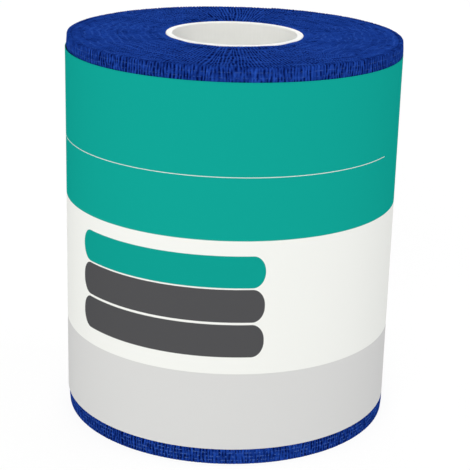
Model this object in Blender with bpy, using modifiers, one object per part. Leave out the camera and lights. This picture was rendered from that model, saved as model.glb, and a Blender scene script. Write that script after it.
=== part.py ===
"""Cohesive bandage roll: a crepe bandage wound on a white core, in a paper wrap band.

The roll stands on one end. Its axis is Z, the origin is the centre of the face that it
rests on, and -Y is the front of the band. Metres, +Z up.
"""

import math
import random

import bmesh
import bpy
from mathutils import Vector

# --- driving dimensions (metres) -------------------------------------------------------
ROLL_HEIGHT = 0.0750          # width of the bandage strip
ROLL_RADIUS = 0.0320          # wound bandage, mean of its crinkles
GAP = 0.0003                  # clear space left between two pieces

CORE_OUTER_RADIUS = 0.01325
CORE_WALL = 0.0012
CORE_PROUD = 0.00025          # the core's top rim above the bandage
CORE_EDGE = 0.0003            # small chamfer on the core's rims

BAND_RADIUS = 0.0323          # outer face of the paper band
BAND_THICKNESS = 0.0010
BAND_BOTTOM = 0.0031
BAND_TOP = 0.0726
LAP_LENGTH = 0.008            # where the band's ends overlap and are glued
LAP_RISE = 0.0002             # the upper end stands this far over the lower one
LAP_ANGLE = math.radians(128) # the seam, turned from +X: at the back, on a diagonal

LAYER = 0.0006                # one thickness of the bandage, the step at its tail
TAIL_ANGLE = math.radians(76) # where the strip's tail ends, turned from +X: at the back

RIB_COUNT = 240               # crinkles round the exposed edges of the strip
RIB_HEIGHT = 0.00016
RIB_LEAN = math.radians(0.35) # how far a crinkle may wander sideways
CRINKLE_SEED = 7

TOP_RIDGES = 6                # main swellings of the winding on the top face
BASE_RIDGES = 3               # the same on the face that it rests on, pressed flat
RIDGE_DEPTH = 0.0003
EDGE_ROUND = 0.0005           # rounding of the strip's edge at the rim
EDGE_DIP = 0.0001             # how far the end faces fall towards that edge

# --- resolution ------------------------------------------------------------------------
TURN_STEPS = 96               # steps of the turned shapes
RIB_STEPS = 2 * RIB_COUNT     # points round an exposed strip: a crest and a hollow each

TINY = 0.00001                # points closer than this count as level with each other
TOP_CRESTS = (0.5,)           # where the crests lie on a ridge, as shares of its width
BASE_CRESTS = (0.15, 0.85)    # the base's ridges are flat between their two crests

# --- worked out from these -------------------------------------------------------------
CORE_INNER_RADIUS = CORE_OUTER_RADIUS - CORE_WALL
BORE_RADIUS = CORE_OUTER_RADIUS + GAP
WAIST_RADIUS = BAND_RADIUS - BAND_THICKNESS - GAP
STRIP_TOP = BAND_TOP + GAP
STRIP_BOTTOM = BAND_BOTTOM - GAP
SHOULDER_RADIUS = ROLL_RADIUS - EDGE_ROUND


def clear_scene():
    for old in list(bpy.data.objects):
        bpy.data.objects.remove(old, do_unlink=True)


def make_material(name, colour, roughness):
    material = bpy.data.materials.new(name)
    material.use_nodes = True
    shader = material.node_tree.nodes["Principled BSDF"]
    shader.inputs["Base Color"].default_value = (*colour, 1.0)
    shader.inputs["Roughness"].default_value = roughness
    shader.inputs["Metallic"].default_value = 0.0
    return material


def turned(name, outline, steps, collection):
    """Turn a closed outline of (radius, z) points round Z and return a plain mesh object.

    The outline runs down the outer side, from top to bottom, and back up the inner one.
    """
    mesh = bpy.data.meshes.new(name)
    count = len(outline)
    points = [(radius, 0.0, z) for radius, z in outline]
    mesh.from_pydata(points, [(i, (i + 1) % count) for i in range(count)], [])
    guide = bpy.data.objects.new(name + "_outline", mesh)
    collection.objects.link(guide)

    screw = guide.modifiers.new("Turn", "SCREW")
    screw.angle = 2 * math.pi
    screw.steps = steps
    screw.render_steps = steps
    screw.use_merge_vertices = True
    screw.merge_threshold = TINY

    bpy.context.view_layer.update()
    evaluated = guide.evaluated_get(bpy.context.evaluated_depsgraph_get())
    solid = bpy.data.objects.new(name, bpy.data.meshes.new_from_object(evaluated))
    solid.data.name = name
    collection.objects.link(solid)
    bpy.data.objects.remove(guide, do_unlink=True)
    return solid


def finish(solid, material, sharp_angle=math.radians(35)):
    solid.data.materials.clear()
    solid.data.materials.append(material)
    solid.data.shade_smooth()
    solid.data.set_sharp_from_angle(angle=sharp_angle)


def turn_of(point):
    """The angle of a point round Z from +X, from 0 to a full turn."""
    return math.atan2(point.y, point.x) % (2 * math.pi)


def at(radius, angle, z):
    return Vector((radius * math.cos(angle), radius * math.sin(angle), z))


# --- core ------------------------------------------------------------------------------
def make_core(collection):
    top = ROLL_HEIGHT + CORE_PROUD
    outer, inner, edge = CORE_OUTER_RADIUS, CORE_INNER_RADIUS, CORE_EDGE
    outline = [
        (outer - edge, top), (outer, top - edge),
        (outer, edge), (outer - edge, 0.0),
        (inner + edge, 0.0), (inner, edge),
        (inner, top - edge), (inner + edge, top),
    ]
    core = turned("core", outline, TURN_STEPS // 2, collection)
    finish(core, make_material("white_core", (0.93, 0.93, 0.91), 0.45))
    return core


# --- bandage ---------------------------------------------------------------------------
def tail_drop(angle):
    """How far the outer turn lies inside its full radius.

    The last turn climbs by one layer: it runs full and round through the front, and the
    climb lies in the back half, up to the edge of the tail.
    """
    behind = (angle - TAIL_ANGLE) % (2 * math.pi)
    if behind > math.pi:
        return 0.0
    return LAYER * 0.5 * (1 + math.cos(behind))


def end_face(ridges, crests):
    """(radius, depth) rows of an end face from rim to bore, with crests on each ridge."""
    pitch = (SHOULDER_RADIUS - BORE_RADIUS) / ridges
    rows = []
    for ridge in range(ridges):
        rows += [(SHOULDER_RADIUS - (ridge + share) * pitch, 0.0) for share in crests]
        if ridge < ridges - 1:
            rows.append((SHOULDER_RADIUS - (ridge + 1) * pitch, RIDGE_DEPTH))
    return rows


def bandage_outline():
    side = [
        (SHOULDER_RADIUS, ROLL_HEIGHT - EDGE_DIP),
        (ROLL_RADIUS, ROLL_HEIGHT - EDGE_ROUND),
        (ROLL_RADIUS, STRIP_TOP),
        (WAIST_RADIUS, STRIP_TOP),
        (WAIST_RADIUS, STRIP_BOTTOM),
        (ROLL_RADIUS, STRIP_BOTTOM),
        (ROLL_RADIUS, EDGE_ROUND),
        (SHOULDER_RADIUS, EDGE_DIP),
    ]
    bottom = end_face(BASE_RIDGES, BASE_CRESTS)
    bore = [(BORE_RADIUS, RIDGE_DEPTH), (BORE_RADIUS, ROLL_HEIGHT - RIDGE_DEPTH)]
    top = [(radius, ROLL_HEIGHT - depth) for radius, depth in end_face(TOP_RIDGES, TOP_CRESTS)]
    return side + bottom + bore + top[::-1]


def radius_of(point):
    return math.hypot(point.x, point.y)


def is_on_strip(point):
    """Whether a point lies on an exposed strip, which only its two edge rings do."""
    return radius_of(point) > ROLL_RADIUS - TINY


def split_strips_for_ribs(mesh):
    """Give the exposed strips enough points round them for every crinkle."""
    bm = bmesh.new()
    bm.from_mesh(mesh)
    around = []
    for edge in bm.edges:
        first, second = (vert.co for vert in edge.verts)
        level = abs(first.z - second.z) < TINY
        if level and is_on_strip(first) and is_on_strip(second):
            around.append(edge)
    bmesh.ops.subdivide_edges(bm, edges=around, cuts=RIB_STEPS // TURN_STEPS - 1, use_grid_fill=True)
    bm.to_mesh(mesh)
    bm.free()


def crinkles():
    """Height and sideways lean of each point round a strip, uneven from rib to rib."""
    rng = random.Random(CRINKLE_SEED)
    heights = []
    leans = []
    for _ in range(RIB_COUNT):
        crest = rng.uniform(0.3, 1.0) * RIB_HEIGHT
        hollow = -rng.uniform(0.3, 1.0) * RIB_HEIGHT
        heights += [crest, hollow]
        leans += [rng.uniform(-1, 1) * RIB_LEAN] * 2
    return heights, leans


def shape_bandage(mesh):
    """Raise the crinkles, and draw the back in towards the strip's tail."""
    heights, leans = crinkles()
    step = 2 * math.pi / RIB_STEPS
    bm = bmesh.new()
    bm.from_mesh(mesh)
    for vert in bm.verts:
        angle = turn_of(vert.co)
        radius = radius_of(vert.co)
        if abs(radius - WAIST_RADIUS) < TINY:
            continue
        drop = tail_drop(angle) * (radius - BORE_RADIUS) / (ROLL_RADIUS - BORE_RADIUS)
        if not is_on_strip(vert.co):
            vert.co = at(radius - drop, angle, vert.co.z)
            continue
        place = round(angle / step) % RIB_STEPS
        way = 1 if vert.co.z > ROLL_HEIGHT / 2 else -1
        vert.co = at(ROLL_RADIUS + heights[place] - drop, place * step + way * leans[place], vert.co.z)
    bmesh.ops.triangulate(bm, faces=[face for face in bm.faces if len(face.verts) > 4])
    bm.to_mesh(mesh)
    bm.free()


def make_bandage(collection):
    bandage = turned("bandage_roll", bandage_outline(), TURN_STEPS, collection)
    split_strips_for_ribs(bandage.data)
    shape_bandage(bandage.data)
    finish(bandage, make_material("blue_crepe", (0.010, 0.036, 0.235), 0.9))
    return bandage


# --- paper band ------------------------------------------------------------------------
def lap_rise(angle):
    """The band's outer face stands over its inner end along the lap."""
    lap = LAP_LENGTH / BAND_RADIUS
    past = (angle - LAP_ANGLE) % (2 * math.pi)
    return LAP_RISE if past < lap else 0.0


def make_band(collection):
    outer, inner = BAND_RADIUS, BAND_RADIUS - BAND_THICKNESS
    outline = [(outer, BAND_TOP), (outer, BAND_BOTTOM), (inner, BAND_BOTTOM), (inner, BAND_TOP)]
    band = turned("paper_band", outline, TURN_STEPS, collection)
    for vert in band.data.vertices:
        radius = radius_of(vert.co)
        if abs(radius - outer) < TINY:
            angle = turn_of(vert.co)
            vert.co = at(radius + lap_rise(angle), angle, vert.co.z)
    finish(band, make_material("printed_paper", (0.85, 0.86, 0.84), 0.5))
    return band


def main():
    clear_scene()
    collection = bpy.data.collections.new("cohesive_bandage_roll")
    bpy.context.scene.collection.children.link(collection)
    axis = bpy.data.objects.new("roll_axis", None)
    collection.objects.link(axis)
    for piece in (make_core(collection), make_bandage(collection), make_band(collection)):
        piece.parent = axis


main()
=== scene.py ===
import math

import bpy
from mathutils import Matrix, Vector, noise


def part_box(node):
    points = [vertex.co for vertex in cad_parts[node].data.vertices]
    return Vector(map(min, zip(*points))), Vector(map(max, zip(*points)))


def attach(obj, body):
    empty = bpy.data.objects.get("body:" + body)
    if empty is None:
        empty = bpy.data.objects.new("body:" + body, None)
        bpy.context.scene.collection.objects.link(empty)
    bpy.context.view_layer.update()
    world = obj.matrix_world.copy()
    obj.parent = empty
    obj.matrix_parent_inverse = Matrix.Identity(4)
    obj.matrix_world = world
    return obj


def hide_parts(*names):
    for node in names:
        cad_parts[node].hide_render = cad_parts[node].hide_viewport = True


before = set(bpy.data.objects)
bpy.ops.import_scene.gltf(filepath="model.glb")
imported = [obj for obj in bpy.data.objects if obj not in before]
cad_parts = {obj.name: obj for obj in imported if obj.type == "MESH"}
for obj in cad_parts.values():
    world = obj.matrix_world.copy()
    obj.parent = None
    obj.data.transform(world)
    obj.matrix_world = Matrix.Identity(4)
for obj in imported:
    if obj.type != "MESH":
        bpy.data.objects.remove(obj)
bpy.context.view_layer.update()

mm = 0.001
fullTurn = 2 * math.pi
weldWithin = 0.002 * mm                       # points closer than this become one
cloudSpan = (0.3, 0.7)                        # most of a cloud's values lie between these

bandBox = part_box("paper_band")
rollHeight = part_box("bandage_roll")[1].z
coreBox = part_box("core")
bandLow, bandHigh = bandBox[0].z, bandBox[1].z
bandRadius = bandBox[1].x                     # the paper's outer face
print("frame loaded: roll", round(rollHeight / mm, 1), "mm tall")


class Signal:
    # one socket of a material: arithmetic on it adds Math nodes
    def __init__(self, tree, socket=None):
        self.tree = tree
        self.socket = socket

    def node(self, kind, settings, sockets, output=0):
        made = self.tree.nodes.new(kind)
        for name, value in settings.items():
            setattr(made, name, value)
        for name, value in sockets.items():
            if isinstance(value, Signal):
                self.tree.links.new(value.socket, made.inputs[name])
            else:
                made.inputs[name].default_value = value
        return Signal(self.tree, made.outputs[output])

    def math(self, operation, *others):
        return self.node("ShaderNodeMath", {"operation": operation}, dict(enumerate((self, *others))))

    def mathAfter(self, operation, first):
        # with the other value first, as in 1 - mask
        return self.node("ShaderNodeMath", {"operation": operation}, {0: first, 1: self})

    def __add__(self, other):
        return self.math("ADD", other)

    def __sub__(self, other):
        return self.math("SUBTRACT", other)

    def __rsub__(self, other):
        return self.mathAfter("SUBTRACT", other)

    def __mul__(self, other):
        return self.math("MULTIPLY", other)

    def __truediv__(self, other):
        return self.math("DIVIDE", other)

    def __rtruediv__(self, other):
        return self.mathAfter("DIVIDE", other)

    def __abs__(self):
        return self.math("ABSOLUTE")

    __radd__ = __add__
    __rmul__ = __mul__

    def fade(self, low, high):
        # 0 below low and 1 above high, smooth between them, or the other way round
        if low > high:
            return 1 - self.fade(high, low)
        settings = {"interpolation_type": "SMOOTHSTEP"}
        return self.node("ShaderNodeMapRange", settings, {"Value": self, "From Min": low, "From Max": high})

    def line(self, place, width):
        # 1 along one height or distance, 0 past this width on both sides, and full within 0.3 of it
        return abs(self - place).fade(width, 0.3 * width)

    def repeat(self, pitch):
        # how far past the middle of its own repeat, from minus half to half of one
        return (self / pitch).math("FRACT") - 0.5

    def mix(self, colourA, colourB):
        # self is the share of colour B; by number, as several of this node's sockets share a name
        return self.node("ShaderNodeMix", {"data_type": "RGBA"}, {0: self, 6: colourA, 7: colourB}, 2)

    def cloud(self, scale, detail=2.0, rough=0.5):
        # self is a place: noise from about 0.25 to 0.75
        sockets = {"Vector": self, "Scale": scale, "Detail": detail, "Roughness": rough}
        return self.node("ShaderNodeTexNoise", {}, sockets)

    def stretched(self, x, y, z):
        return self.node("ShaderNodeMapping", {}, {"Vector": self, "Scale": (x, y, z)})

    def inMm(self):
        # self is a place in metres
        return self.stretched(1 / mm, 1 / mm, 1 / mm)

    def part(self, axis):
        return self.node("ShaderNodeSeparateXYZ", {}, {0: self}, axis)


def ink(red, green, blue):
    # a colour as it looks, from 0 to 255, made straight for a shader by the sRGB curve
    def straight(value):
        value /= 255
        return value / 12.92 if value < 0.04 else ((value + 0.055) / 1.055) ** 2.4
    return (straight(red), straight(green), straight(blue), 1.0)


def newMaterial(name, constants):
    material = bpy.data.materials.new(name)
    material.use_nodes = True
    shader = material.node_tree.nodes["Principled BSDF"]
    for socket, value in constants.items():
        shader.inputs[socket].default_value = value
    return material, Signal(material.node_tree), shader


def feed(shader, socket, signal):
    signal.tree.links.new(signal.socket, shader.inputs[socket])


def bumpFrom(height, distance, strength):
    sockets = {"Height": height, "Distance": distance, "Strength": strength}
    return height.node("ShaderNodeBump", {}, sockets)


def deselectAll():
    if bpy.context.object and bpy.context.object.mode != "OBJECT":
        bpy.ops.object.mode_set(mode="OBJECT")
    bpy.ops.object.select_all(action="DESELECT")


def makeActive(piece):
    deselectAll()
    piece.select_set(True)
    bpy.context.view_layer.objects.active = piece


def flatStrip(name, columns, rows):
    # a flat grid, one metre a side, to be rolled up
    deselectAll()
    bpy.ops.mesh.primitive_grid_add(x_subdivisions=columns, y_subdivisions=rows, size=1, location=(0, 0, 0))
    strip = bpy.context.object
    strip.name = strip.data.name = name
    return strip


def gridPlaces(strip, columns, rows):
    # the column and row of each point, from its place on the flat strip
    places = []
    for point in strip.data.vertices:
        places.append((round((point.co.x + 0.5) * columns), round((point.co.y + 0.5) * rows)))
    return places


def placePoints(piece, points):
    piece.data.vertices.foreach_set("co", [number for point in points for number in point])
    piece.data.update()


def storeCloth(piece, cloth, fold):
    # cloth: a place on a tube, in mm, and along it in layers; fold: 0 in a valley, 1 on a crest
    stored = piece.data.attributes.new("cloth", "FLOAT_VECTOR", "POINT")
    stored.data.foreach_set("vector", [number for value in cloth for number in value])
    stored = piece.data.attributes.new("fold", "FLOAT", "POINT")
    stored.data.foreach_set("value", fold)


def editMesh(piece):
    makeActive(piece)
    bpy.ops.object.mode_set(mode="EDIT")
    bpy.ops.mesh.select_all(action="SELECT")


def pointOutwards(piece, mergeWithin=0.0):
    editMesh(piece)
    if mergeWithin:
        bpy.ops.mesh.remove_doubles(threshold=mergeWithin)
    bpy.ops.mesh.normals_make_consistent(inside=False)
    bpy.ops.object.mode_set(mode="OBJECT")


def selectOpenEdges():
    bpy.ops.mesh.select_all(action="DESELECT")
    bpy.ops.mesh.select_mode(type="EDGE")
    bpy.ops.mesh.select_non_manifold(extend=False)


def dress(piece, materials, node):
    for material in materials:
        piece.data.materials.append(material)
    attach(piece, "root")
    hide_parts(node)
    print("made", piece.name, len(piece.data.polygons), "faces")


def at(radius, angle, z):
    # a point so far from the roll's axis, turned round it, and so high
    return (radius * math.cos(angle), radius * math.sin(angle), z)


def ease(value, low=0.0, high=1.0):
    # 0 at low and 1 at high, which may lie below it, and smooth between them
    share = min(1.0, max(0.0, (value - low) / (high - low)))
    return share * share * (3 - 2 * share)


def spread(low, high, count):
    return [low + (high - low) * step / (count - 1) for step in range(count)]


winding = {
    "layers": 30,                             # thicknesses of cloth from core to rim
    "firstRadius": coreBox[1].x + 0.04 * mm,  # of the strip's first layer, on the core
    "rimRadius": 32.0 * mm,
    "tailAngle": math.radians(76),            # where the strip ends, at the back
    "tip": 0.02,                              # layers, how thin the strip starts at the core
    "innerTurns": 15,                         # these are a piece of their own, with fewer points
    "innerColumns": 1440,                     # points round one turn
    "outerColumns": 2160,
    "rimColumns": 2880,
}
layer = (winding["rimRadius"] - winding["firstRadius"]) / winding["layers"]


def climb(past):
    # each turn climbs over the one below in the half turn past the tail
    return 0.5 - 0.5 * math.cos(min(past, math.pi))


def levelRadius(level):
    return winding["firstRadius"] + layer * level


folds = {
    "endPitch": 0.62 * mm,                    # from one crinkle of the crepe to the next
    "sidePitch": 0.60 * mm,
    "wander": 0.6,                            # how unevenly they stand, in crinkles
    "endWander": (1.3, 0.06),                 # mm round for one change of that, and changes a layer
    "sideWander": (1.3 * mm, 2.2 * mm),       # for one change round the side, and up it
    "endValley": 0.39,                        # a valley's half width, in crinkles
    "sideValley": 0.36,
    "shallow": 0.15,                          # the depth of the least valleys, as a share
    "dome": 0.16,                             # how far a crest falls away on both sides
    "group": 10.0,                            # layers through which the crinkles line up
    "groupShift": 0.37,                       # crinkles that each group is turned from the last
    "groupChange": (0.42, 0.58),              # the part of a group in which it turns into the next
    "groupRagged": 0.45,                      # how unevenly it does so round the roll
    "stagger": 0.10,                          # each layer's crinkles stand up to so far to one side
    "endDeep": (-0.08, 0.26),                 # noise from shallow to deep: a lower pair deepens more
    "sideDeep": (-0.12, 0.26),
    "ring": 0.36,                             # every few layers that noise is so much higher
    "ringPitch": 4.2,                         # layers
    "ringRagged": 0.4,                        # how unevenly it does so round the roll
    "endRun": 1.1,                            # layers for which one valley runs on
    "sideRun": 0.5 * mm,                      # and how far it does up the side
    "endRagged": 14,                          # how finely the ends of these runs differ round the roll
    "sideRagged": 0.9 * mm,
    "gather": (0.75, 1.70),                   # the side's crinkles come and go between these strengths
    "gathers": 4,                             # so many times round, and weakest at this angle
    "gatherAngle": math.radians(278),
    "sideSeed": 11.0,
    "tubeRadius": 22.0,                       # mm, where an end's cloth pattern is true to size
}


def crinkle(across, run, valley, chances, ring=0.0):
    # 1 on the crests, falling to a narrow valley at each whole number, deep and shallow by turns
    nearest = math.floor(across + 0.5)
    ownPlace = Vector((nearest * 1.7 + 0.3, run, 7.5))     # in the noise, so that each valley differs
    deep = ease(ring + noise.noise(ownPlace), *chances)
    dip = (1 - ease(abs(across - nearest) / valley)) * (folds["shallow"] + (1 - folds["shallow"]) * deep)
    dome = folds["dome"] * math.cos(math.pi * (across - nearest)) ** 2
    return (1 - dip) * (1 - dome)


def endFold(angle, level, seed, edge):
    # crinkles as an end face shows them: radial, lined up over a few layers at a time
    ragged = noise.noise(Vector(at(folds["endRagged"], angle, seed)))
    wide, change = folds["endWander"]
    wanderPlace = Vector(at(folds["tubeRadius"] / wide, angle, level * change + seed))
    uneven = noise.noise(wanderPlace) * folds["wander"]
    place = level / folds["group"] + folds["groupRagged"] * ragged
    ringPlace = level / folds["ringPitch"] + folds["ringRagged"] * ragged
    ring = folds["ring"] * math.cos(fullTurn * ringPlace)
    group = math.floor(place)
    share = ease(place - group, *folds["groupChange"])
    fold = 0.0
    for nearby, weight in ((group, 1 - share), (group + 1, share)):
        if weight:
            count = round(fullTurn * levelRadius(nearby * folds["group"]) / folds["endPitch"])
            across = count * angle / fullTurn + uneven + nearby * folds["groupShift"]
            if edge >= 0:
                across += folds["stagger"] * noise.cell(Vector((edge + 0.5, seed, 1.5)))
            run = level / folds["endRun"] + ragged + seed
            fold += weight * crinkle(across, run, folds["endValley"], folds["endDeep"], ring)
    return fold


def sideFold(angle, z):
    # crinkles as the outer turn shows them: upright, wandering and forking a little
    radius, seed = winding["rimRadius"], folds["sideSeed"]
    count = round(fullTurn * radius / folds["sidePitch"])
    wide, tall = folds["sideWander"]
    uneven = noise.noise(Vector(at(radius / wide, angle, z / tall + seed))) * folds["wander"]
    ragged = noise.noise(Vector(at(radius / folds["sideRagged"], angle, seed)))
    across = count * angle / fullTurn + uneven
    run = z / folds["sideRun"] + ragged + seed
    fold = crinkle(across, run, folds["sideValley"], folds["sideDeep"])
    weakest, strongest = folds["gather"]
    wave = 0.5 - 0.5 * math.cos(folds["gathers"] * (angle - folds["gatherAngle"]))
    return max(0.0, 1 - (weakest + (strongest - weakest) * wave) * (1 - fold))


ends = {
    "crest": 0.30 * mm,                       # the highest crinkles stand over the roll's height
    "grooveDip": 0.04 * mm,                   # between one layer's edge and the next
    "grooveShade": 0.03,                      # and how much darker its paint is
    "foldDip": 0.24 * mm,
    "turnDip": 0.09 * mm,                     # some turns' edges stand lower
    "turnWaves": (2.2, 0.9),                  # how finely that changes, round a turn and across layers
    "swellDip": 0.10 * mm,                    # broad swellings across the end
    "swell": 4.6 * mm,
    "swellChange": 0.07,                      # and from layer to layer
    "calm": 0.85,                             # the first turn lies smoother against the core
    "calmLayers": (1.8, 0.4),                 # from none of that to all of it
    "sway": 0.10 * mm,                        # a layer's crests lean out and its valleys in
    "swayMiddle": 0.6,                        # the fold between them, which doesn't lean
    "pressed": 0.5,                           # the base's share of the depths, as the roll stands on it
    "wall": 2.0 * mm,
    "topSeed": 3.7,
    "baseSeed": 41.3,
}


def endHeight(angle, level, edge, seed):
    # how much of a crest a point is, and how far it lies below the highest ones; edge is the turn
    # whose edge it lies on, or -1 in a groove
    radius = levelRadius(level)
    calm = 1 - ends["calm"] * ease(level, *ends["calmLayers"])
    fold = min(1.0, 1 - calm * (1 - endFold(angle, level, seed, edge)))
    around, change = ends["turnWaves"]
    turn = 0.5 + noise.noise(Vector(at(around, angle, level * change + seed)))
    swell = 0.5 + noise.noise(Vector(at(radius / ends["swell"], angle, level * ends["swellChange"] + seed)))
    depth = ends["foldDip"] * (1 - fold) + ends["turnDip"] * turn + ends["swellDip"] * swell
    return fold, max(0.0, depth + (ends["grooveDip"] if edge < 0 else 0.0))


def endLevel(isTop, depth):
    # the height of a point that lies so far inside an end's highest crests
    return rollHeight + ends["crest"] - depth if isTop else depth * ends["pressed"]


def endSeed(isTop):
    return ends["topSeed"] if isTop else ends["baseSeed"]


def makeWoundEnd(name, isTop, turns, columns, material):
    # the edges of many turns on one end face: one long strip, rolled up
    rows = 2
    seed = endSeed(isTop)
    firstColumn = columns * turns[0]
    length = columns * turns[1] - firstColumn
    strip = flatStrip(name, length, rows)
    points, cloth, fold = [], [], []
    for column, row in gridPlaces(strip, length, rows):
        turn, step = divmod(column + firstColumn, columns)
        past = fullTurn * step / columns
        if column == length:                  # the last column ends its turn and begins no other
            turn, past = turn - 1, fullTurn
        level = max(winding["tip"] * (turn * rows + row), turn - 1 + climb(past) + row / rows)
        angle = winding["tailAngle"] + past
        high, depth = endHeight(angle, level, turn if row == 1 else -1, seed)
        sway = ends["sway"] * (high - ends["swayMiddle"]) * min(1.0, level)
        points.append(at(levelRadius(level) + sway, angle, endLevel(isTop, depth)))
        cloth.append(at(folds["tubeRadius"], angle, level + seed))
        fold.append(high - (0.0 if row == 1 else ends["grooveShade"]))
    placePoints(strip, points)
    storeCloth(strip, cloth, fold)
    pointOutwards(strip, mergeWithin=weldWithin)
    closeBehind(strip, -1 if isTop else 1)
    makeActive(strip)
    bpy.ops.object.shade_smooth()
    dress(strip, [material], "bandage_roll")


def closeBehind(strip, way):
    # walls at the bore and the rim, and a hidden floor that closes the piece
    editMesh(strip)
    selectOpenEdges()
    bpy.ops.mesh.extrude_region_move(TRANSFORM_OT_translate={"value": (0, 0, way * ends["wall"])})
    level = rollHeight - ends["wall"] if way < 0 else ends["wall"]
    bpy.ops.transform.resize(value=(1, 1, 0), center_override=(0, 0, level))
    bpy.ops.mesh.bridge_edge_loops()
    bpy.ops.mesh.select_all(action="SELECT")
    bpy.ops.mesh.normals_make_consistent(inside=False)
    bpy.ops.object.mode_set(mode="OBJECT")


crepe = {
    # valley is painted shade in the crinkles' valleys, and crest a painted highlight on their crests
    "valley": ink(3, 17, 74),
    "cloth": ink(18, 48, 127),
    "crest": ink(38, 82, 184),
    "thread": ink(70, 102, 168),
    "fibre": ink(48, 86, 180),
    "fromValleyShade": (0.0, 0.75),                   # tones from the painted valley shade to the cloth's colour
    "toCrestHighlight": (0.55, 1.4),
    "ends": {
        "reliefShading": 1.85,                       # how much painted highlight a crest's tone gets over a valley's painted shade
        "darker": 0.79,
        "streaks": (0.3, 2.5, 0.4),           # change across layers, fineness, share in the tone
        "fibres": (3.6, 0.15),                # fineness, share in the tone
    },
    "side": {
        "reliefShading": 0.96,
        "darker": 0.03,
        "streaks": (0.3, 1.8, 1.3),
        "fibres": (3.6, 0.25),
    },
    "ripples": (0.9, 0.2, 0.4),               # broad changes, on the ends and the side alike
    "patches": (0.22, 0.25),
    "lower": (40, 20),                        # mm up, from the top strip's look to the base strip's
    # painted shade: the base strip darker, as the floor would shade it
    "baseStripShade": 0.08,
    "bump": (0.06 * mm, 0.5),
}

threads = {                                   # elastic threads and loose fibres
    "heights": (0.8, 1.55, 2.3, 73.35, 74.3),              # mm up the side, as rows of dots
    "halfWidth": 0.13,                        # mm
    "dots": (2.4, 0.48, 0.58),                # fineness, and the noise from none to full
    "dotStrength": (0.3, 0.5),                # at the top, and how much more at the base
    "slantWave": (0.09, 9.0),                 # fineness, and mm that fibres across them climb and fall
    "slantPitch": 2.2,                        # mm
    "slantHalfWidth": 0.05,                   # in pitches
    "slantParts": (0.8, 0.5, 0.62),           # as for the dots
    "slantStrength": 0.3,
    "zigzags": 20,                            # of an end's rings, in a turn
    "zigzagRise": 3.0,                        # layers
    "driftNoise": (0.1, 0.12),                # change across layers, and fineness
    "drift": (3.0, 4.0),                      # how unevenly they stand by it, in zigzags and in layers
    "ringPitch": 2.4,                         # layers
    "ringHalfWidth": 0.16,                    # in pitches
    "ringParts": (0.35, 0.6),                 # the noise from none to full
    "ringStrength": 0.5,
}


def addRings(colour, cloth, patches):
    # on an end face the threads show as faint rings that run in zigzags
    around = cloth.part("Y").math("ARCTAN2", cloth.part("X")) * (threads["zigzags"] / fullTurn)
    across, fineness = threads["driftNoise"]
    drift = cloth.stretched(1, 1, across).cloud(fineness) - 0.5
    driftAround, driftAcross = threads["drift"]
    zigzag = abs((around + drift * driftAround).repeat(1.0))
    level = cloth.part("Z") + zigzag * threads["zigzagRise"] + drift * driftAcross
    ring = level.repeat(threads["ringPitch"]).line(0, threads["ringHalfWidth"])
    strength = patches.fade(*threads["ringParts"]) * threads["ringStrength"]
    return (ring * strength).mix(colour, crepe["fibre"])


def addDots(colour, cloth, place):
    # up the side they show as rows of dots, where fine loose fibres cross them on a slant
    height = place.part("Z")
    rows = [height.line(thread, threads["halfWidth"]) for thread in threads["heights"]]
    fineness, none, full = threads["dots"]
    atTop, more = threads["dotStrength"]
    strength = height.fade(*crepe["lower"]) * more + atTop
    dots = sum(rows) * place.cloud(fineness).fade(none, full) * strength
    fineness, rise = threads["slantWave"]
    wave = cloth.stretched(1, 1, 0).cloud(fineness, detail=1.0)
    slant = (height + wave * rise).repeat(threads["slantPitch"])
    fineness, none, full = threads["slantParts"]
    strands = slant.line(0, threads["slantHalfWidth"]) * place.cloud(fineness).fade(none, full)
    colour = (strands * threads["slantStrength"]).mix(colour, crepe["fibre"])
    return dots.mix(colour, crepe["thread"])


def makeCrepeMaterial(name, isEnd):
    constants = {"Roughness": 1.0, "Specular IOR Level": 0.0}
    material, start, shader = newMaterial(name, constants)
    cloth = start.node("ShaderNodeAttribute", {"attribute_name": "cloth"}, {}, "Vector")
    fold = start.node("ShaderNodeAttribute", {"attribute_name": "fold"}, {}, "Fac")
    place = start.node("ShaderNodeTexCoord", {}, {}, "Object").inMm()
    look = crepe["ends" if isEnd else "side"]

    across, fineness, streakShare = look["streaks"]
    streaks = cloth.stretched(1, 1, across).cloud(fineness)
    across, fineness, rippleShare = crepe["ripples"]
    ripples = cloth.stretched(1, 1, across).cloud(fineness)
    fineness, fibreShare = look["fibres"]
    fibres = place.cloud(fineness, detail=3.0, rough=0.6)
    fineness, patchShare = crepe["patches"]
    patches = place.cloud(fineness)

    # painted shade and highlight: by the fold attribute the colour darkens into each crinkle's valley and
    # lightens on its crest
    tone = fold * look["reliefShading"]
    if not isEnd:
        # painted shade: the strip at the base is darker, as the floor would shade it
        tone = tone - place.part("Z").fade(*crepe["lower"]) * crepe["baseStripShade"]
    tone = tone - look["darker"] + (streaks - 0.5) * streakShare + (ripples - 0.5) * rippleShare
    tone = tone + (fibres - 0.5) * fibreShare + (patches - 0.5) * patchShare
    lit = tone.fade(*crepe["toCrestHighlight"]).mix(crepe["cloth"], crepe["crest"])
    colour = tone.fade(*crepe["fromValleyShade"]).mix(crepe["valley"], lit)
    colour = addRings(colour, cloth, patches) if isEnd else addDots(colour, cloth, place)
    feed(shader, "Base Color", colour)
    feed(shader, "Normal", bumpFrom(fibres + streaks, *crepe["bump"]))
    return material


endCrepe = makeCrepeMaterial("blueCrepeEnds", True)
sideCrepe = makeCrepeMaterial("blueCrepeSide", False)
for isTop, endName in ((True, "Top"), (False, "Base")):
    innerTurns = (0, winding["innerTurns"])
    outerTurns = (winding["innerTurns"], winding["layers"] - 1)
    makeWoundEnd("inner" + endName, isTop, innerTurns, winding["innerColumns"], endCrepe)
    makeWoundEnd("outer" + endName, isTop, outerTurns, winding["outerColumns"], endCrepe)


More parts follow.
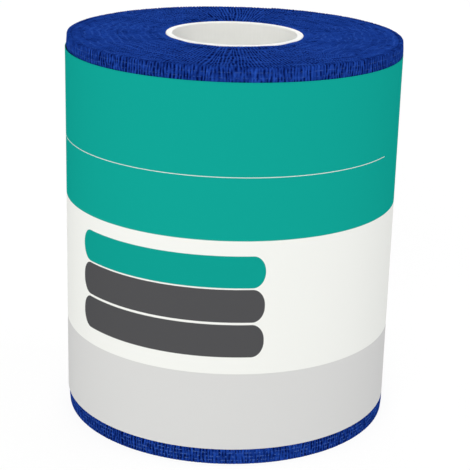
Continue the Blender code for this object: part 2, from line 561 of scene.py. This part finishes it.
paper = {                                     # the outer turn is fitted to these, so they come first
    "radius": bandRadius + 0.06 * mm,         # its outer face
    "thickness": 0.10 * mm,
    "lapAngle": math.radians(128),            # the lower end's edge, at the back
    "lap": 8.0 * mm,                          # how far the upper end runs over it
    "lapRamp": 6.0 * mm,                      # and how long before that it starts to rise
    "lapGap": 0.02 * mm,                      # between the two ends
    "columns": 540,
    "rows": 24,
    "waver": 0.03 * mm,                       # slow waves in the paper
    "waves": 1.6,
    "waveHeight": 30 * mm,
    "flare": 0.01 * mm,                       # its cut edges stand off the cloth
    "flareOver": 4 * mm,
    "smoothWithin": math.radians(35),
    "pulp": 1.6,                              # the fineness of its surface
    "roughness": (0.5, 0.16),                 # the least, and how much the pulp adds
    "bump": (0.01 * mm, 0.1),
    "tints": (ink(232, 231, 224), ink(244, 244, 238)),     # of its back and its cut edges
}
paper["length"] = fullTurn * paper["radius"] + paper["lap"]
paper["height"] = bandHigh - bandLow

outer = {
    "pressed": paper["radius"] - paper["thickness"] - 0.04 * mm,    # the cloth under the paper
    "crests": paper["radius"] - 0.02 * mm,    # the crinkles that show above and below it
    "foldHeight": 0.17 * mm,
    "freeOver": 0.35 * mm,                    # how soon past the paper's edge they stand up
    "lipDrop": 0.10 * mm,                     # the strips that show draw in towards the ends
    "lipDropOver": 1.6 * mm,
    "lowFlatter": 0.6,                        # the crinkles are pressed flatter close to the table
    "lowHeights": (1.2 * mm, 0.2 * mm),
    "topRise": 0.5,                           # the top strip rises by this share of an end's crest
    "topRiseOver": 1.0 * mm,
    "endShare": 0.32,                         # the lip's share of an end's ups and downs
    "baseShare": 0.25,                        # and of those at the base
    "clear": 0.1 * mm,                        # from the rows that show to the paper's edge
    "tuck": 3 * mm,                           # from that edge to the hidden rows
    "exposedRows": 9,
    "hiddenRows": 4,
    "lip": 0.16 * mm,
    "lipRows": (                              # share of the thickness, depth, and the valleys' depth there
        (0.95, 0.04 * mm, 0.35),
        (0.55, 0.0, 0.15),
        (0.06, 0.05 * mm, 0.15),
    ),
}


def outerSection():
    # round the cloth's section: share of its thickness, height (on a lip the depth), the valleys'
    # depth on a lip, and which lip it is: 1 at the top, -1 at the base, 0 on neither
    lip, clear, tuck = outer["lip"], outer["clear"], outer["tuck"]
    side = spread(lip, bandLow + clear, outer["exposedRows"])
    side += spread(bandLow + tuck, bandHigh - tuck, outer["hiddenRows"])
    side += spread(bandHigh - clear, rollHeight - lip, outer["exposedRows"])
    rows = [(1.0, z, 0.0, 0) for z in side]
    rows += [(*lipRow, 1) for lipRow in outer["lipRows"]]
    rows += [(*lipRow, -1) for lipRow in reversed(outer["lipRows"])]
    return rows + rows[:1]


def makeOuterTurn(material):
    section = outerSection()
    rows = len(section) - 1
    columns = winding["rimColumns"]
    strip = flatStrip("outerTurn", columns, rows)
    points, cloth, folded = [], [], []
    for column, row in gridPlaces(strip, columns, rows):
        share, z, notch, end = section[row]
        isTop = end > 0
        past = fullTurn * column / columns
        angle = winding["tailAngle"] + past
        innerRadius = levelRadius(winding["layers"] - 2 + climb(past))
        drop = layer * (1 - climb(past))
        lipHeight = rollHeight if isTop else 0.0
        fold = sideFold(angle, lipHeight if end else z)
        flatter = 0.0 if isTop else outer["lowFlatter"] * ease(z, *outer["lowHeights"])
        crestRadius = outer["crests"] - drop - outer["foldHeight"] * (1 - flatter) * (1 - fold)
        if end:
            ownFold, depth = endHeight(angle, winding["layers"] - 1, winding["layers"], endSeed(isTop))
            depth = outer["endShare"] * depth + notch * ends["foldDip"] * (1 - fold) + z
            z = endLevel(isTop, depth if isTop else outer["baseShare"] * depth)
            outside = crestRadius - outer["lipDrop"]
            radius = innerRadius + (outside - innerRadius) * share
            fold = (fold + ownFold) / 2
        else:
            exposed = ease(min(z - bandLow, bandHigh - z), 0.0, -outer["freeOver"])
            fromEnd = ease(min(z, rollHeight - z), outer["lipDropOver"], 0.0)
            openRadius = crestRadius - outer["lipDrop"] * fromEnd
            radius = openRadius * exposed + (outer["pressed"] - drop) * (1 - exposed)
            if z > rollHeight / 2:
                rise = ease(z, rollHeight - outer["topRiseOver"], rollHeight)
                z += ends["crest"] * outer["topRise"] * rise
        points.append(at(radius, angle, z))
        cloth.append(at(winding["rimRadius"] / mm, angle, z / layer))
        folded.append(fold)
    placePoints(strip, points)
    storeCloth(strip, cloth, folded)
    pointOutwards(strip, mergeWithin=weldWithin)
    editMesh(strip)
    selectOpenEdges()
    bpy.ops.mesh.fill_holes(sides=0)
    pointOutwards(strip)
    makeActive(strip)
    bpy.ops.object.shade_smooth()
    dress(strip, [material], "bandage_roll")


makeOuterTurn(sideCrepe)


tube = {
    "wall": 1.3 * mm,
    "rimRound": 0.22 * mm,
    "steps": 192,                             # points round it
    "arcSteps": 5,                            # and round each of its rounded edges
    "smoothWithin": math.radians(40),
    "tints": (ink(248, 248, 245), ink(251, 251, 248)),     # from its grain's hollows to its heights
    "grain": (2.4, 0.12),                     # fineness round the tube, and its share along it
    "dust": 0.35,
    "roughness": (0.42, 0.16),                # the least, and how much the grain adds
    "bump": (0.01 * mm, 0.1),
}


def makeCoreMaterial():
    material, start, shader = newMaterial("whiteCore", {"Specular IOR Level": 0.1})
    place = start.node("ShaderNodeTexCoord", {}, {}, "Object")
    fineness, along = tube["grain"]
    grain = place.stretched(1 / mm, 1 / mm, along / mm).cloud(fineness, detail=3.0, rough=0.55)
    dust = place.inMm().cloud(tube["dust"])
    shade = (grain * 0.5 + dust * 0.5).fade(*cloudSpan)
    least, more = tube["roughness"]
    feed(shader, "Base Color", shade.mix(*tube["tints"]))
    feed(shader, "Roughness", grain * more + least)
    feed(shader, "Normal", bumpFrom(dust, *tube["bump"]))
    return material


def coreSection():
    # round the tube's wall, from the outer rim over the top and down the bore
    outerRadius, top = coreBox[1].x, coreBox[1].z
    inner, corner = outerRadius - tube["wall"], tube["rimRound"]
    centres = ((outerRadius - corner, top - corner), (inner + corner, top - corner),
               (inner + corner, corner), (outerRadius - corner, corner))
    section = []
    for quarter, (radius, z) in enumerate(centres):
        for turned in spread(quarter * math.pi / 2, (quarter + 1) * math.pi / 2, tube["arcSteps"]):
            section.append((radius + corner * math.cos(turned), z + corner * math.sin(turned)))
    return section


def makeCore(material):
    # a ring of points, drawn on round the section
    section = coreSection()
    radius, z = section[0]
    deselectAll()
    bpy.ops.mesh.primitive_circle_add(vertices=tube["steps"], radius=radius, location=(0, 0, z))
    core = bpy.context.object
    core.name = core.data.name = "coreTube"
    bpy.ops.object.transform_apply(location=True, rotation=False, scale=False)
    bpy.ops.object.mode_set(mode="EDIT")
    bpy.ops.mesh.select_mode(type="EDGE")
    bpy.ops.mesh.select_all(action="SELECT")
    for nextRadius, nextZ in section[1:] + section[:1]:
        bpy.ops.mesh.extrude_region_move(TRANSFORM_OT_translate={"value": (0, 0, nextZ - z)})
        share = nextRadius / radius
        bpy.ops.transform.resize(value=(share, share, 1), center_override=(0, 0, nextZ))
        radius, z = nextRadius, nextZ
    pointOutwards(core, mergeWithin=weldWithin)
    makeActive(core)
    bpy.ops.object.shade_smooth_by_angle(angle=tube["smoothWithin"])
    dress(core, [material], "core")


makeCore(makeCoreMaterial())


def makePaperBand(materials):
    strip = flatStrip("paperBand", paper["columns"], paper["rows"])
    lapStart = paper["length"] - paper["lap"]
    points = []
    for column, row in gridPlaces(strip, paper["columns"], paper["rows"]):
        along = paper["length"] * column / paper["columns"]
        z = bandLow + paper["height"] * ease(row / paper["rows"])
        angle = paper["lapAngle"] + along / paper["radius"]
        over = ease(along, lapStart - paper["lapRamp"], lapStart)
        edge = 1 - ease(min(z - bandLow, bandHigh - z), 0, paper["flareOver"])
        wave = noise.noise(Vector(at(paper["waves"], angle, z / paper["waveHeight"])))
        radius = paper["radius"] - paper["thickness"] / 2 + over * (paper["thickness"] + paper["lapGap"])
        radius += paper["waver"] * wave + paper["flare"] * edge
        points.append(at(radius, angle, z))
    placePoints(strip, points)
    makeActive(strip)
    solid = strip.modifiers.new("thickness", "SOLIDIFY")
    solid.thickness = paper["thickness"]
    solid.offset = 0
    solid.material_offset = 1
    for material in materials:
        strip.data.materials.append(material)
    bpy.ops.object.modifier_apply(modifier=solid.name)
    pointOutwards(strip)
    makeActive(strip)
    bpy.ops.object.shade_smooth_by_angle(angle=paper["smoothWithin"])
    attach(strip, "root")
    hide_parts("paper_band")
    print("made", strip.name, len(strip.data.polygons), "faces")


printed = {                                   # sizes in mm, along it from the front and up from the base
    "white": ink(245, 246, 242),
    "green": ink(17, 164, 151),
    "barGreen": ink(16, 159, 147),
    "grey": ink(218, 218, 217),
    "dark": ink(82, 82, 84),
    "greenFrom": 44.02,
    "greyTo": 18.37,
    "rule": {"height": 55.73, "width": 0.11, "from": -58.0, "to": 34.8, "corner": (0.02, 0.02)},
    "bars": {"from": -32.2, "to": 6.83, "corner": (2.3, 3.0)},
    "barHeights": ((35.12, 41.20, "barGreen"), (28.50, 34.83, "dark"), (21.70, 28.05, "dark")),
    "blur": 0.05,                             # half the width in which one colour turns to another
}


def boxMask(along, height, left, right, low, high, corner):
    # 1 inside a box whose corners are rounded by so much along it and up it
    wide, tall = corner
    reach = (abs(along - (left + right) / 2) - ((right - left) / 2 - wide)) * (tall / wide)
    rise = abs(height - (low + high) / 2) - ((high - low) / 2 - tall)
    outX, outZ = reach.math("MAXIMUM", 0), rise.math("MAXIMUM", 0)
    away = (outX * outX + outZ * outZ).math("SQRT")
    inside = reach.math("MAXIMUM", rise).math("MINIMUM", 0)
    return (away + inside - tall).fade(printed["blur"], -printed["blur"])


def paperSurface(shader, place):
    pulp = place.inMm().cloud(paper["pulp"], detail=4.0, rough=0.6)
    least, more = paper["roughness"]
    feed(shader, "Roughness", pulp * more + least)
    feed(shader, "Normal", bumpFrom(pulp, *paper["bump"]))
    return pulp


def makePrintedMaterial():
    material, start, shader = newMaterial("printedPaper", {"Specular IOR Level": 0.0})
    flat = start.node("ShaderNodeUVMap", {"uv_map": "UVMap"}, {})
    place = start.node("ShaderNodeTexCoord", {}, {}, "Object")
    frontPlace = (math.radians(270) - paper["lapAngle"]) * paper["radius"] / mm
    along = flat.part("X") * (paper["length"] / mm) - frontPlace
    height = place.part("Z") / mm
    blur = printed["blur"]

    mask = height.fade(printed["greenFrom"] - blur, printed["greenFrom"] + blur)
    colour = mask.mix(printed["white"], printed["green"])
    mask = height.fade(printed["greyTo"] + blur, printed["greyTo"] - blur)
    colour = mask.mix(colour, printed["grey"])
    rule = printed["rule"]
    low, high = rule["height"] - rule["width"] / 2, rule["height"] + rule["width"] / 2
    mask = boxMask(along, height, rule["from"], rule["to"], low, high, rule["corner"])
    colour = mask.mix(colour, printed["white"])
    bars = printed["bars"]
    for low, high, tint in printed["barHeights"]:
        mask = boxMask(along, height, bars["from"], bars["to"], low, high, bars["corner"])
        colour = mask.mix(colour, printed[tint])
    feed(shader, "Base Color", colour)
    paperSurface(shader, place)
    return material


def makePlainPaper():
    # the paper's back and its cut edges
    material, start, shader = newMaterial("plainPaper", {"Specular IOR Level": 0.0})
    pulp = paperSurface(shader, start.node("ShaderNodeTexCoord", {}, {}, "Object"))
    feed(shader, "Base Color", pulp.fade(*cloudSpan).mix(*paper["tints"]))
    return material


makePaperBand([makePrintedMaterial(), makePlainPaper()])


studio = {
    "sky": 0.06,                              # even light from above, and brighter near the horizon
    "horizon": 1.0,
    "skyFrom": (0.17, 0.11),                  # how far up the one turns into the other
    "floorColour": 0.12,
    "floorGlow": 0.90,                        # the floor gives light too, so that it shows evenly pale
    "floorSize": 8,                           # m, as is how far away the softboxes stand
    "distance": 1.1,
    # angle round from the front, angle up, size, how bright white paper that faces it shows, colour
    "softboxes": {
        "keySoftbox": (-15, 28, 0.6, 0.44, (1.0, 1.0, 0.975)),
        "leftSoftbox": (-100, 62, 0.6, 0.185, (1.0, 1.0, 0.985)),
        "sideSoftbox": (92, 52, 0.6, 0.34, (0.985, 0.985, 1.0)),
        "backSoftbox": (180, 28, 0.6, 0.30, (1.0, 1.0, 1.0)),
        "topSoftbox": (0, 88, 1.2, 0.18, (1.0, 1.0, 1.0)),
    },
}

camera = {                                    # fitted to the photo's outlines
    "place": Vector((0, -267.9, 123.7)) * mm,
    "yaw": math.radians(0.248),
    "down": math.radians(18.426),
    "roll": math.radians(1.627),
    "focalPixels": 1405.1,
    "framePixels": 470,
    "sensor": 36,                             # mm
    "nearest": 0.01,                          # m, closer things aren't seen
}


def makeFloor():
    deselectAll()
    bpy.ops.mesh.primitive_plane_add(size=studio["floorSize"], location=(0, 0, 0))
    floor = bpy.context.object
    floor.name = floor.data.name = "floor"
    shade = studio["floorColour"]
    constants = {"Base Color": (shade, shade, shade, 1), "Roughness": 1.0, "Specular IOR Level": 0.0,
                 "Emission Color": (1, 1, 1, 1), "Emission Strength": studio["floorGlow"]}
    floor.data.materials.append(newMaterial("paleFloor", constants)[0])


def makeSky():
    # dim overhead, so that the softboxes shape the roll, and white near the horizon
    world = bpy.data.worlds.new("studio")
    bpy.context.scene.world = world
    world.use_nodes = True
    start = Signal(world.node_tree)
    rise = start.node("ShaderNodeTexCoord", {}, {}, "Generated").part("Z")
    low, high = studio["sky"], studio["horizon"]
    colour = rise.fade(*studio["skyFrom"]).mix((low, low, low, 1), (high, high, high, 1))
    background = world.node_tree.nodes["Background"]
    world.node_tree.links.new(colour.socket, background.inputs["Color"])


def makeSoftboxes():
    middle = Vector((0, 0, rollHeight / 2))
    for name, (around, up, size, strength, colour) in studio["softboxes"].items():
        turn, rise = math.radians(around - 90), math.radians(up)
        way = Vector((math.cos(rise) * math.cos(turn), math.cos(rise) * math.sin(turn), math.sin(rise)))
        place = middle + way * studio["distance"]
        bpy.ops.object.light_add(type="AREA", location=place)
        box = bpy.context.object
        box.name = box.data.name = name
        box.data.size = size
        box.data.color = colour
        box.data.energy = strength * (math.pi * studio["distance"]) ** 2
        box.rotation_euler = (-way).to_track_quat("-Z", "Y").to_euler()


def makeCamera():
    yaw, down, roll = camera["yaw"], camera["down"], camera["roll"]
    ahead = Vector((math.sin(yaw) * math.cos(down), math.cos(yaw) * math.cos(down), -math.sin(down)))
    right = ahead.cross(Vector((0, 0, 1))).normalized()
    up = right.cross(ahead)
    pictureRight = right * math.cos(roll) + up * math.sin(roll)
    pictureUp = up * math.cos(roll) - right * math.sin(roll)
    turned = Matrix((pictureRight, pictureUp, -ahead)).transposed().to_4x4()
    data = bpy.data.cameras.new("photoView")
    data.sensor_width = camera["sensor"]
    data.lens = camera["sensor"] * camera["focalPixels"] / camera["framePixels"]
    data.clip_start = camera["nearest"]
    view = bpy.data.objects.new("photoView", data)
    view.matrix_world = Matrix.Translation(camera["place"]) @ turned
    bpy.context.scene.collection.objects.link(view)
    bpy.context.scene.camera = view


makeFloor()
makeSky()
makeSoftboxes()
makeCamera()
bpy.context.scene.view_settings.view_transform = "Standard"
print("studio ready")
